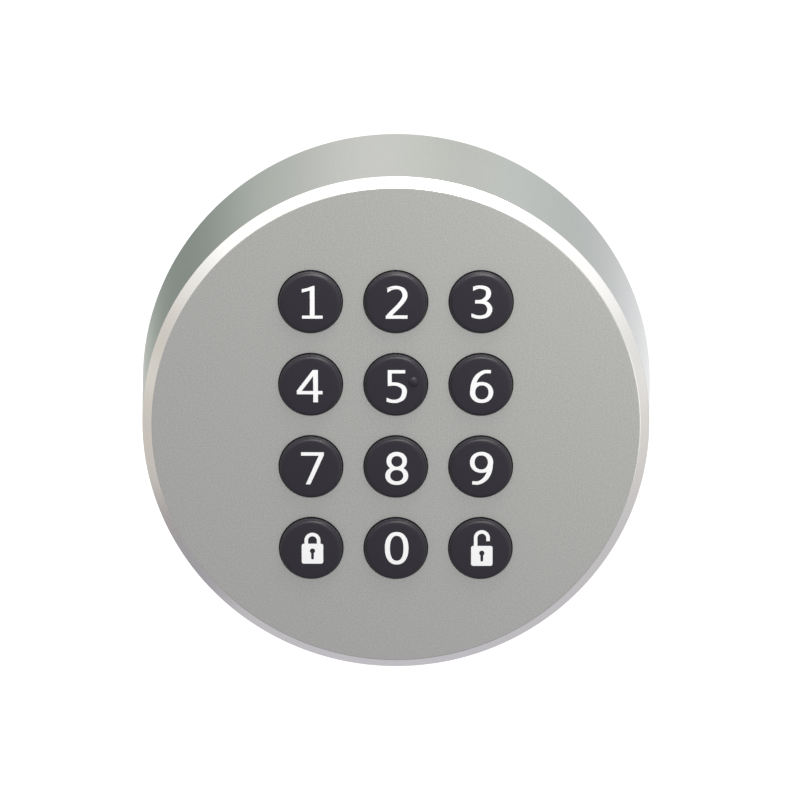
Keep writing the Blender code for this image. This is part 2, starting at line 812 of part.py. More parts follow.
def make_lock_screw(bench):
    """Grub screw up through the bottom of the housing, its tip on the collar."""
    tip = COLLAR_OUTER + 0.15 * MM
    low, high = -tip - LOCK_LENGTH, -tip
    cone = 0.4 * MM
    profile = [
        (0, high),
        (LOCK_RADIUS - cone, high),
        (LOCK_RADIUS, high - cone),
        (LOCK_RADIUS, low + cone / 2),
        (LOCK_RADIUS - cone / 2, low),
        (0, low),
    ]
    upright = (math.radians(-90), 0, 0)
    screw = bench.place(
        "lock_screw",
        profile_mesh("lock_screw", profile),
        "plated_steel",
        at=(0, 0, LOCK_HEIGHT),
        turn=upright,
    )
    turn_profile(screw, 16)
    socket = bench.helper(
        "lock_socket",
        rod_mesh("lock_socket", low - MM, low + 1.6 * MM, 0.87 * MM, 6),
        bench.cutters,
        at=(0, 0, LOCK_HEIGHT),
        turn=upright,
    )
    combine(screw, "DIFFERENCE", socket)


def main():
    clear_scene()
    bench = Bench()
    make_housing(bench)
    make_keys(bench)
    make_key_mat(bench)
    make_board(bench)
    make_board_parts(bench)
    make_rear_frame(bench)
    make_cells(bench)
    make_contacts(bench)
    make_springs(bench)
    make_frame_screws(bench)
    make_wall_plate(bench)
    make_seals(bench)
    make_lock_screw(bench)


main()
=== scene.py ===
"""Looks of the round battery keypad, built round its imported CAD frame.

Shapes are drawn lying on a bench, as in the CAD: x to the right, y up the wall and z
the height above the wall, in metres.  stand_up() turns each mesh to the frame's axes,
where the wall is the plane Y = 0, the keys face -Y and +Z is up.  Every piece takes
its place and main sizes from the CAD node that it replaces.
"""

import math

import bmesh
import bpy
from mathutils import Matrix, Vector


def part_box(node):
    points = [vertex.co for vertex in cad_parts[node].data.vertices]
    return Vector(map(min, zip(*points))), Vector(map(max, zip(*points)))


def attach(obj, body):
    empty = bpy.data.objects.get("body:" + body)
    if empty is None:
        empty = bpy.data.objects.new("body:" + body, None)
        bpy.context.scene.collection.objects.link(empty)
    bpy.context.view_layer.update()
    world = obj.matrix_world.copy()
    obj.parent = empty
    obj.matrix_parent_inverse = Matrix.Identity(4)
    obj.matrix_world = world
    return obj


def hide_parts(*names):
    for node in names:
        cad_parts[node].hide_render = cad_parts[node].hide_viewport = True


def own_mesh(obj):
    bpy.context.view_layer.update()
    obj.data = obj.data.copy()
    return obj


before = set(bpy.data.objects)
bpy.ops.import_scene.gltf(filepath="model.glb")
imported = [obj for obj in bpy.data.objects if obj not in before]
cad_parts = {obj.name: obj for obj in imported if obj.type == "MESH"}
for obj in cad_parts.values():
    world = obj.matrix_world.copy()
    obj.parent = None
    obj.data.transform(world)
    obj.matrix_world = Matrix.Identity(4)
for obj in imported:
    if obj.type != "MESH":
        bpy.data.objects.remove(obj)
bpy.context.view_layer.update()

MM = 0.001
TO_FRAME = Matrix.Rotation(math.radians(90), 4, "X")

# Facets round a full turn.
BODY_FACETS = 240
PLATE_FACETS = 192
KEY_FACETS = 96
DOME_FACETS = 48
CELL_FACETS = 64
SMALL_FACETS = 40
SCREW_FACETS = 24
THREAD_FACETS = 32

ARC_STEP = math.radians(15)  # most that one facet of a rounded corner turns
SHARP_ANGLE = math.radians(32)  # edges that turn more than this stay sharp
LARGE_FLAT = 30 * MM * MM  # area of a face that always shades flat

KEY_NAMES = ("1", "2", "3", "4", "5", "6", "7", "8", "9", "lock", "0", "unlock")
FOUR = range(1, 5)  # numbers of the cells, the springs and the frame screws

# Camera, found from the round outlines and the key grid.
CAMERA_DISTANCE = 0.975
CAMERA_PITCH = 14.75  # degrees
CAMERA_YAW = 0.16  # degrees
CAMERA_AIM = Vector((0.65 * MM, -28.0 * MM, 4.19 * MM))
CAMERA_LENS = 286.0
SENSOR_WIDTH = 36


# Places in the CAD frame.


def bench_box(node):
    """Lowest and highest corner of a CAD node, in bench axes."""
    low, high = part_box(node)
    return Vector((low.x, low.z, -high.y)), Vector((high.x, high.z, -low.y))


def bench_centre(node):
    low, high = bench_box(node)
    return (low + high) / 2


# Profiles.


def rounded(corners, closed=False):
    """Points (radius, height) of a profile whose corners are (radius, height[, fillet])."""
    count = len(corners)
    points = []
    for i, corner in enumerate(corners):
        fillet = corner[2] if len(corner) > 2 else 0
        here = Vector(corner[:2])
        if not fillet or (not closed and i in (0, count - 1)):
            points.append(tuple(here))
            continue
        before = Vector(corners[i - 1][:2])
        after = Vector(corners[(i + 1) % count][:2])
        points += corner_arc(before, here, after, fillet)
    return points


def corner_arc(before, here, after, fillet):
    """Points of the arc that rounds the corner at here."""
    into, out = (here - before).normalized(), (after - here).normalized()
    turn = into.angle_signed(out) * -1
    reach = fillet * math.tan(abs(turn) / 2)
    start = here - into * reach
    side = Vector((-into.y, into.x)) * math.copysign(fillet, turn)
    centre = start + side
    steps = max(2, math.ceil(abs(turn) / ARC_STEP))
    points = []
    for k in range(steps + 1):
        spin = Matrix.Rotation(turn * k / steps, 2)
        points.append(tuple(centre + spin @ (-side)))
    return points


def arc(centre, radius, start, end, steps):
    """Points along an arc, both ends included, angles in degrees."""
    angles = [math.radians(start + (end - start) * i / steps) for i in range(steps + 1)]
    return [
        (centre[0] + radius * math.cos(a), centre[1] + radius * math.sin(a))
        for a in angles
    ]


# Mesh builders.  Each one adds closed solids to a bmesh.


def lathe(shape, profile, facets, at=(0, 0), loop=False):
    """Turns a profile of (radius, height) points about the height axis."""
    tiny = 1e-7
    rings = []
    for radius, height in profile:
        if radius < tiny:
            rings.append([shape.verts.new((at[0], at[1], height))])
        else:
            rings.append(ring_at(shape, at, height, [radius] * facets))
    return skin(shape, rings, facets, loop)


def ring_at(shape, at, height, radii):
    """A level ring of vertices about a point, one for every radius."""
    ring = []
    for k, radius in enumerate(radii):
        angle = math.tau * k / len(radii)
        x, y = at[0] + radius * math.cos(angle), at[1] + radius * math.sin(angle)
        ring.append(shape.verts.new((x, y, height)))
    return ring


def skin(shape, rings, facets, loop=False):
    """Joins rings one after the other, and either closes the loop or caps its two ends."""
    pairs = list(zip(rings, rings[1:]))
    if loop:
        pairs.append((rings[-1], rings[0]))
    for one, two in pairs:
        join_rings(shape, one, two, facets)
    if not loop:
        for ring in (rings[0], rings[-1]):
            if len(ring) > 1:
                shape.faces.new(ring)
    return shape


def join_rings(shape, one, two, facets):
    """Faces between two rings, where one of them may be a single point on the axis."""
    if len(one) == len(two) == 1:
        return
    for k in range(facets):
        n = (k + 1) % facets
        if len(one) == 1:
            shape.faces.new((one[0], two[k], two[n]))
        elif len(two) == 1:
            shape.faces.new((one[k], two[0], one[n]))
        else:
            shape.faces.new((one[k], two[k], two[n], one[n]))


def prism(shape, outline, bottom, top):
    """An upright solid on a flat outline of (x, y) points."""
    low = [shape.verts.new((x, y, bottom)) for x, y in outline]
    high = [shape.verts.new((x, y, top)) for x, y in outline]
    shape.faces.new(low)
    shape.faces.new(high)
    for k in range(len(outline)):
        n = (k + 1) % len(outline)
        shape.faces.new((low[k], low[n], high[n], high[k]))
    return shape


def box(shape, low, high):
    outline = [(low[0], low[1]), (high[0], low[1]), (high[0], high[1]), (low[0], high[1])]
    return prism(shape, outline, low[2], high[2])


def mesh_from(name, shape):
    bmesh.ops.recalc_face_normals(shape, faces=shape.faces)
    mesh = bpy.data.meshes.new(name)
    shape.to_mesh(mesh)
    shape.free()
    return mesh


def boolean(mesh, operation, shape):
    """The mesh after a Boolean with a bmesh."""
    base = bpy.data.objects.new("base", mesh)
    other = bpy.data.objects.new("other", mesh_from("other", shape))
    for obj in (base, other):
        bpy.context.scene.collection.objects.link(obj)
    modifier = base.modifiers.new("cut", "BOOLEAN")
    modifier.operation = operation
    modifier.solver = "EXACT"
    modifier.object = other
    graph = bpy.context.evaluated_depsgraph_get()
    made = bpy.data.meshes.new_from_object(base.evaluated_get(graph))
    assert made.polygons, f"{mesh.name} came out of the Boolean empty"
    made.name = mesh.name
    for obj in (base, other):
        bpy.data.objects.remove(obj)
    return made


def turned(mesh, angle, axis, at=(0, 0, 0)):
    """Spins the mesh about an axis through its origin, then moves it."""
    mesh.transform(Matrix.Translation(at) @ Matrix.Rotation(math.radians(angle), 4, axis))
    return mesh


def stand_up(name, mesh, body, replaces, materials, paint=None):
    """Makes a finished piece of a bench mesh: smooth, painted and riding on its body."""
    mesh.transform(TO_FRAME)
    mesh.materials.clear()
    for material in materials:
        mesh.materials.append(material)
    for face in mesh.polygons:
        face.material_index = paint(to_bench(face.center)) if paint else 0
    mesh.shade_smooth()
    mesh.set_sharp_from_angle(angle=SHARP_ANGLE)
    outline_flats(mesh)
    mesh.name = name
    piece = bpy.data.objects.new(name, mesh)
    bpy.context.scene.collection.objects.link(piece)
    weighted = piece.modifiers.new("weighted", "WEIGHTED_NORMAL")
    weighted.keep_sharp = True
    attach(piece, body)
    if replaces:
        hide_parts(*replaces)
    return piece


def outline_flats(mesh):
    """Marks the edges of large flat faces as sharp, so that they shade as truly flat."""
    marks = mesh.attributes.get("sharp_edge")
    if marks is None:
        marks = mesh.attributes.new("sharp_edge", "BOOLEAN", "EDGE")
    numbers = {edge.key: edge.index for edge in mesh.edges}
    for face in mesh.polygons:
        if face.area > LARGE_FLAT:
            for key in face.edge_keys:
                marks.data[numbers[key]].value = True


def to_bench(vector):
    return Vector((vector.x, vector.z, -vector.y))


# Materials.


def add_node(tree, kind, **settings):
    node = tree.nodes.new(kind)
    for key, value in settings.items():
        setattr(node, key, value)
    return node


def add_ramp(tree, stops):
    """A colour ramp with (position, colour) stops."""
    ramp = add_node(tree, "ShaderNodeValToRGB")
    elements = ramp.color_ramp.elements
    while len(elements) < len(stops):
        elements.new(0.5)
    for element, (position, colour) in zip(elements, stops):
        element.position = position
        element.color = (*colour, 1)
    return ramp


class Finish:
    """A Principled material, and the nodes that vary it over the surface."""

    def __init__(self, name, colour, roughness, metallic=0.0, **sockets):
        self.base = colour
        self.material = bpy.data.materials.new(name)
        self.material.use_nodes = True
        self.tree = self.material.node_tree
        self.shader = self.tree.nodes["Principled BSDF"]
        self.shader.inputs["Base Color"].default_value = (*colour, 1)
        self.shader.inputs["Roughness"].default_value = roughness
        self.shader.inputs["Metallic"].default_value = metallic
        for socket, value in sockets.items():
            self.shader.inputs[socket.replace("_", " ")].default_value = value
        self.place = add_node(self.tree, "ShaderNodeTexCoord").outputs["Object"]

    def link(self, output, socket):
        self.tree.links.new(output, socket)

    def noise(self, size, detail=3.0, stretch=(1, 1, 1)):
        """A noise of grains about size across, in metres."""
        spread = add_node(self.tree, "ShaderNodeVectorMath", operation="MULTIPLY")
        self.link(self.place, spread.inputs[0])
        spread.inputs[1].default_value = [s / size for s in stretch]
        grain = add_node(self.tree, "ShaderNodeTexNoise")
        grain.inputs["Scale"].default_value = 1.0
        grain.inputs["Detail"].default_value = detail
        self.link(spread.outputs[0], grain.inputs["Vector"])
        return grain.outputs["Fac"]

    def colours(self, factor, low, high, start=0.35, end=0.65):
        """Blends the base colour between two colours, by a noise that stays near its middle."""
        ramp = add_ramp(self.tree, [(start, low), (end, high)])
        self.link(factor, ramp.inputs["Fac"])
        self.link(ramp.outputs["Color"], self.shader.inputs["Base Color"])

    def mottled(self, change, size, detail=3.0):
        """Makes the base colour a little darker and a little lighter in spots."""
        low, high = [tuple(c * (1 + sign * change) for c in self.base) for sign in (-1, 1)]
        self.colours(self.noise(size, detail), low, high)

    def vary_roughness(self, factor, low, high, start=0.3, end=0.7):
        """Maps a noise that stays near its middle to a range of roughness."""
        mapped = add_node(self.tree, "ShaderNodeMapRange")
        for socket, value in zip(
            ("From Min", "From Max", "To Min", "To Max"), (start, end, low, high)
        ):
            mapped.inputs[socket].default_value = value
        self.link(factor, mapped.inputs["Value"])
        self.link(mapped.outputs["Result"], self.shader.inputs["Roughness"])

    def bump(self, factor, depth, strength=0.5):
        """Raises the surface by up to depth."""
        bump = add_node(self.tree, "ShaderNodeBump")
        bump.inputs["Distance"].default_value = depth
        bump.inputs["Strength"].default_value = strength
        self.link(factor, bump.inputs["Height"])
        self.link(bump.outputs["Normal"], self.shader.inputs["Normal"])


def make_materials():
    made = {}

    # Bead blasted and clear anodised face.
    face = Finish("blasted_face", (0.556, 0.561, 0.543), 0.46, 1.0)
    face.mottled(0.078, 0.25 * MM, 2.0)
    grain = face.noise(0.2 * MM, 2.0)
    face.vary_roughness(grain, 0.43, 0.49)
    face.bump(grain, 0.01 * MM, 0.3)
    made["face"] = face

    # Turned and polished chamfer.
    chamfer = Finish("turned_chamfer", (0.915, 0.905, 0.895), 0.2, 1.0)
    rings = chamfer.noise(0.5 * MM, 2.0, stretch=(0.05, 8, 0.05))
    chamfer.vary_roughness(rings, 0.16, 0.26)
    chamfer.bump(rings, 0.001 * MM, 0.3)
    made["chamfer"] = chamfer

    # Side wall with a fine satin grain.
    wall = Finish("satin_wall", (0.5, 0.507, 0.487), 0.3, 1.0)
    wall.mottled(0.06, 0.26 * MM, 2.0)
    lines = wall.noise(0.4 * MM, 2.0, stretch=(0.5, 2, 0.5))
    wall.vary_roughness(lines, 0.28, 0.32)
    made["wall"] = wall

    cast = Finish("cast_inside", (0.6, 0.6, 0.58), 0.55, 1.0)
    cast.mottled(0.06, 2 * MM)
    cast.bump(cast.noise(0.3 * MM, 3.0), 0.03 * MM)
    made["cast"] = cast

    # Soft charcoal key plastic with a fine moulded grain.
    key = Finish("key_plastic", (0.0095, 0.007, 0.0155), 0.4)
    key_grain = key.noise(0.12 * MM, 3.0)
    key.mottled(0.1, 0.3 * MM)
    key.vary_roughness(key_grain, 0.42, 0.5)
    key.bump(key_grain, 0.006 * MM, 0.35)
    made["key"] = key

    # White characters with a faint painted glow that lifts them to full white.
    mark = Finish(
        "key_marking",
        (0.85, 0.85, 0.87),
        0.42,
        Emission_Color=(1, 1, 1, 1),
        Emission_Strength=0.02,
    )
    mark.mottled(0.015, 0.4 * MM)
    mark.bump(mark.noise(0.1 * MM, 2.0), 0.003 * MM, 0.3)
    made["mark"] = mark

    silicone = Finish(
        "silicone",
        (0.74, 0.76, 0.77),
        0.5,
        Subsurface_Weight=0.4,
        Subsurface_Scale=0.8 * MM,
        Subsurface_Radius=(1.0, 0.9, 0.85),
    )
    silicone.mottled(0.03, 3 * MM)
    silicone.vary_roughness(silicone.noise(0.5 * MM), 0.42, 0.6)
    made["silicone"] = silicone

    board = Finish("board_laminate", (0.03, 0.2, 0.09), 0.38, Coat_Weight=0.4, Coat_Roughness=0.2)
    weave = board.noise(0.35 * MM, 1.0, stretch=(1, 1, 4))
    board.colours(weave, (0.02, 0.15, 0.07), (0.035, 0.23, 0.1))
    board.bump(weave, 0.01 * MM, 0.3)
    made["board"] = board

    lamp = Finish("light_resin", (0.86, 0.84, 0.66), 0.2, Coat_Weight=0.5)
    lamp.mottled(0.04, 0.5 * MM)
    lamp.vary_roughness(lamp.noise(0.3 * MM), 0.16, 0.3)
    made["lamp"] = lamp

    chip = Finish("chip_plastic", (0.022, 0.022, 0.024), 0.45)
    chip.mottled(0.15, 0.4 * MM)
    chip.bump(chip.noise(0.08 * MM, 2.0), 0.006 * MM)
    made["chip"] = chip

    can = Finish("can_metal", (0.7, 0.7, 0.68), 0.28, 1.0)
    can.mottled(0.04, 2 * MM)
    can.vary_roughness(can.noise(0.8 * MM, 3.0, stretch=(0.1, 1, 2)), 0.22, 0.38)
    made["can"] = can

    header = Finish("header_plastic", (0.64, 0.62, 0.55), 0.42)
    header.mottled(0.03, 0.8 * MM)
    header.bump(header.noise(0.15 * MM), 0.006 * MM, 0.4)
    made["header"] = header

    # Moulded plastics: fine spark grain, and faint flow marks.
    rear = Finish("frame_plastic", (0.037, 0.038, 0.042), 0.5)
    rear.mottled(0.04, 4 * MM)
    rear_grain = rear.noise(0.2 * MM, 3.0)
    rear.vary_roughness(rear_grain, 0.42, 0.6)
    rear.bump(rear_grain, 0.012 * MM)
    made["rear"] = rear

    plate = Finish("plate_plastic", (0.057, 0.059, 0.064), 0.55)
    plate.mottled(0.04, 5 * MM)
    plate_grain = plate.noise(0.25 * MM, 3.0)
    plate.vary_roughness(plate_grain, 0.48, 0.64)
    plate.bump(plate_grain, 0.018 * MM)
    made["plate"] = plate

    rubber = Finish("seal_rubber", (0.017, 0.017, 0.018), 0.7)
    rubber.mottled(0.2, 1.5 * MM)
    rubber.bump(rubber.noise(0.2 * MM), 0.008 * MM)
    made["rubber"] = rubber

    jacket = Finish("cell_jacket", (0.06, 0.085, 0.14), 0.36)
    jacket.mottled(0.05, 3 * MM)
    jacket.vary_roughness(jacket.noise(4 * MM, 1.0), 0.34, 0.4)
    made["jacket"] = jacket

    band = Finish("cell_band", (0.56, 0.57, 0.58), 0.3, 0.8, Coat_Weight=0.6)
    band.mottled(0.04, 3 * MM)
    made["band"] = band

    plated = Finish("nickel_plate", (0.72, 0.7, 0.66), 0.32, 1.0)
    plated.mottled(0.03, 1.5 * MM)
    plated.vary_roughness(plated.noise(2 * MM, 1.0), 0.3, 0.36)
    made["plated"] = plated

    steel = Finish("screw_steel", (0.5, 0.5, 0.49), 0.3, 1.0)
    steel.mottled(0.08, 0.8 * MM)
    steel.vary_roughness(steel.noise(0.3 * MM), 0.24, 0.42)
    made["steel"] = steel
    return {name: finish.material for name, finish in made.items()}


# Housing, and the order of its four finishes.

FACE_SLOT, CHAMFER_SLOT, WALL_SLOT, CAST_SLOT = range(4)


def make_housing(materials):
    low, high = bench_box("front_housing")
    front = high.z
    back_radius, rim = high.x, low.z
    front_radius = back_radius - 1.0 * MM
    chamfer, rim_break = 1.5 * MM, 0.3 * MM
    bore, lead_in = 36.8 * MM, 0.5 * MM
    ledge_radius, ledge = 35.0 * MM, front - 5.3 * MM
    inside = front - 3.0 * MM
    profile = rounded(
        [
            (30 * MM, front),
            (front_radius - chamfer, front, 0.3 * MM),
            (front_radius, front - chamfer, 0.2 * MM),
            (back_radius, rim + rim_break, 0.15 * MM),
            (back_radius - rim_break, rim, 0.15 * MM),
            (bore + lead_in, rim, 0.1 * MM),
            (bore, rim + lead_in, 0.2 * MM),
            (bore, ledge, 0.2 * MM),
            (ledge_radius, ledge, 0.15 * MM),
            (ledge_radius, inside, 0.4 * MM),
            (10 * MM, inside),
        ]
    )
    mesh = mesh_from("housing", lathe(bmesh.new(), profile, BODY_FACETS))

    bosses, cuts = bmesh.new(), bmesh.new()
    boss_end, root = 16.5 * MM, inside + 1.5 * MM
    boss_radius, pilot_radius, mouth_radius = 3.0 * MM, 1.25 * MM, 1.65 * MM
    boss = [
        (boss_radius + 0.15 * MM, root),
        (boss_radius, boss_end + 0.2 * MM),
        (boss_radius - 0.2 * MM, boss_end),
    ]
    pilot = [
        (pilot_radius, inside),
        (pilot_radius, boss_end + 0.3 * MM),
        (mouth_radius, boss_end - 0.1 * MM),
    ]
    for number in FOUR:
        place = bench_centre(f"frame_screw_{number}").xy
        lathe(bosses, boss, SMALL_FACETS, place)
        lathe(cuts, pilot, SCREW_FACETS, place)
    mesh = boolean(mesh, "UNION", bosses)

    key_hole = key_hole_profile(inside, front)
    for name in KEY_NAMES:
        lathe(cuts, key_hole, KEY_FACETS, bench_centre(f"key_{name}").xy)
    mesh = boolean(mesh, "DIFFERENCE", cuts)

    lock_radius, bore_start, bore_end = 1.6 * MM, 35 * MM, 42 * MM
    tube = lathe(bmesh.new(), [(lock_radius, bore_start), (lock_radius, bore_end)], SMALL_FACETS)
    tube.transform(Matrix.Rotation(math.radians(90), 4, "X"))
    tube.transform(Matrix.Translation((0, 0, bench_centre("lock_screw").z)))
    mesh = boolean(mesh, "DIFFERENCE", tube)

    def paint(place):
        radius = place.xy.length
        if radius > bore + 1.2 * MM and place.z < front - chamfer - 0.05 * MM:
            return WALL_SLOT
        flare_edge = place.z > front - 0.6 * MM and radius < front_radius - 2 * chamfer
        if place.z > front - 0.03 * MM or flare_edge:
            return FACE_SLOT
        if radius > front_radius - chamfer - 0.3 * MM and place.z > front - chamfer - 0.1 * MM:
            return CHAMFER_SLOT
        return CAST_SLOT

    finishes = [materials[name] for name in ("face", "chamfer", "wall", "cast")]
    stand_up("housing", mesh, "keypad", ["front_housing"], finishes, paint)


def key_hole_profile(inside, front):
    """Cutter for a key hole, flared where it meets the face."""
    radius, edge = KEY_HOLE_RADIUS, 0.07 * MM
    flare = arc((radius + edge, front - edge), edge, 180, 108, 5)
    slope = math.radians(18)
    rise = 0.3 * MM
    last = flare[-1]
    return [
        (radius + 0.2 * MM, inside - 0.1 * MM),
        (radius, inside + 0.2 * MM),
        *flare,
        (last[0] + rise / math.tan(slope), last[1] + rise),
    ]


# Keys and their characters.

KEY_RADIUS = 4.83 * MM
KEY_HOLE_RADIUS = 4.95 * MM
SHOULDER_WIDTH = 0.55 * MM
SHOULDER_HEIGHT = 1.0 * MM
KEY_CROWN = 0.06 * MM
CHARACTER_PROUD = 0.015 * MM
PEN_UPRIGHT = 0.86
PEN_FLAT = 0.62
DIGIT_HEIGHT = 5.3
CHARACTER_SCALE = 0.98
CHARACTER_SHIFT = 0.02
CHARACTER_INSET = 0.046
ROW_BASELINES = {"1": -2.45, "4": -2.61, "7": -2.6, "0": -2.29, "lock": -2.24, "unlock": -2.58}
SAME_ROW = {"2": "1", "3": "1", "5": "4", "6": "4", "8": "7", "9": "7"}


def make_keys(materials):
    for name in KEY_NAMES:
        node = f"key_{name}"
        low, high = bench_box(node)
        place = bench_centre(node).xy
        flange = (high.x - low.x) / 2
        radius = KEY_RADIUS
        top = bench_box("key_1")[1].z
        flange_top = low.z + 0.8 * MM
        flat = radius - SHOULDER_WIDTH
        shoulder_end = top - KEY_CROWN - SHOULDER_HEIGHT
        crown = [
            (flat * share, top - KEY_CROWN * share**2) for share in (0, 0.25, 0.5, 0.75, 0.9)
        ]
        shoulder = [
            (flat + SHOULDER_WIDTH * x, shoulder_end + SHOULDER_HEIGHT * y)
            for x, y in arc((0, 0), 1, 90, 0, 14)
        ]
        profile = [
            *crown,
            *shoulder,
            *rounded(
                [
                    (radius, shoulder_end - 0.1 * MM),
                    (radius, flange_top, 0.2 * MM),
                    (flange, flange_top, 0.1 * MM),
                    (flange, low.z, 0.1 * MM),
                    (0, low.z),
                ]
            ),
        ]
        mesh = mesh_from("keycap", lathe(bmesh.new(), profile, KEY_FACETS, place))
        plastic = [materials["key"]]
        stand_up(f"keycap_{name}", mesh, f"cap_{name}", [node], plastic)
        make_character(name, place, top, materials)
    make_home_dot(materials)


def make_home_dot(materials):
    """The raised dot that a finger finds on the middle key, blended into the cap."""
    place = bench_centre("key_5").xy + Vector((2.68, 0.72)) * MM
    radius, foot = 0.74 * MM, bench_box("key_1")[1].z - 0.06 * MM
    height = bench_box("key_5")[1].z - foot
    dome = [(radius * x, foot + height * y) for x, y in arc((0, 0), 1, 90, 8, 10)]
    profile = [*dome, (radius + 0.1 * MM, foot), (0, foot - 0.2 * MM)]
    mesh = mesh_from("home_dot", lathe(bmesh.new(), profile, SMALL_FACETS, place))
    stand_up("home_dot", mesh, "cap_5", [], [materials["key"]])


def smooth_path(points, steps=7):
    """A Catmull-Rom curve through the points."""
    points = [Vector(p) for p in points]
    padded = [2 * points[0] - points[1], *points, 2 * points[-1] - points[-2]]
    path = []
    for before, start, end, after in zip(padded, padded[1:], padded[2:], padded[3:]):
        for k in range(steps):
            t = k / steps
            square = (2 * before - 5 * start + 4 * end - after) * t**2
            cube = (3 * start - before - 3 * end + after) * t**3
            path.append(0.5 * (2 * start + (end - before) * t + square + cube))
    return [*path, points[-1]]


def stroke(points, upright_cuts=(True, True), pen=(PEN_UPRIGHT, PEN_FLAT)):
    """Outline of a pen stroke that is broader on uprights than on flats."""
    left, right = [], []
    for i, here in enumerate(points):
        along = (points[min(i + 1, len(points) - 1)] - points[max(i - 1, 0)]).normalized()
        half = math.hypot(pen[0] * along.y, pen[1] * along.x) / 2
        across = Vector((-along.y, along.x))
        at_end = (i == 0 and upright_cuts[0]) or (i == len(points) - 1 and upright_cuts[1])
        if at_end:
            across = Vector((0, math.copysign(1, along.x))) / max(abs(along.x), 0.5)
        left.append(here + across * half)
        right.append(here - across * half)
    return [tuple(p) for p in left + right[::-1]]


def oval(centre, half_width, half_height, power=2.0, steps=64):
    """A closed superellipse."""
    outline = []
    for k in range(steps):
        c, s = math.cos(math.tau * k / steps), math.sin(math.tau * k / steps)
        x = centre[0] + half_width * math.copysign(abs(c) ** (2 / power), c)
        y = centre[1] + half_height * math.copysign(abs(s) ** (2 / power), s)
        outline.append((x, y))
    return outline


def rounded_box(low, high, radius, steps=6):
    left, right = low[0] + radius, high[0] - radius
    foot, head = low[1] + radius, high[1] - radius
    outline = []
    for x, y, start in ((right, head, 0), (left, head, 90), (left, foot, 180), (right, foot, 270)):
        outline += arc((x, y), radius, start, start + 90, steps)
    return outline


def inset(outline, distance):
    """The outline moved inwards by a distance, or outwards if it is negative."""
    points = [Vector(p) for p in outline]
    area = sum(a.cross(b) for a, b in zip(points, points[1:] + points[:1]))
    side = math.copysign(1, area) * distance
    moved = []
    for before, here, after in zip(points[-1:] + points, points, points[1:] + points[:1]):
        into, out = (here - before).normalized(), (after - here).normalized()
        normals = Vector((-into.y - out.y, into.x + out.x))
        moved.append(tuple(here + normals * (side / max(1 + into.dot(out), 0.4))))
    return moved


def half_turned(outlines, centre):
    """The outlines turned by half a turn about a point."""
    return [[(2 * centre[0] - x, 2 * centre[1] - y) for x, y in line] for line in outlines]


def padlock(centre, body_half, body_top, shackle_top, right_end):
    """Outlines of a padlock sign: body, shackle and keyhole."""
    reach, pen = 0.975, 0.65
    middle = shackle_top - reach - pen / 2
    body = rounded_box((centre - body_half, 0), (centre + body_half, body_top), 0.38)
    arch = arc((centre, middle), reach, 0, 180, 24)
    path = [(centre + reach, right_end), *arch, (centre - reach, body_top - 0.3)]
    shackle = stroke([Vector(p) for p in path], (False, False), (pen, pen))
    keyhole_height = 2.13 * body_top / 3.35
    keyhole = oval((centre, keyhole_height), 0.37, 0.37, steps=24)
    half, bottom = 0.17, keyhole_height - 1.34
    slot = rounded_box((centre - half, bottom), (centre + half, keyhole_height), 0.16)
    return [body, shackle], [keyhole, slot]


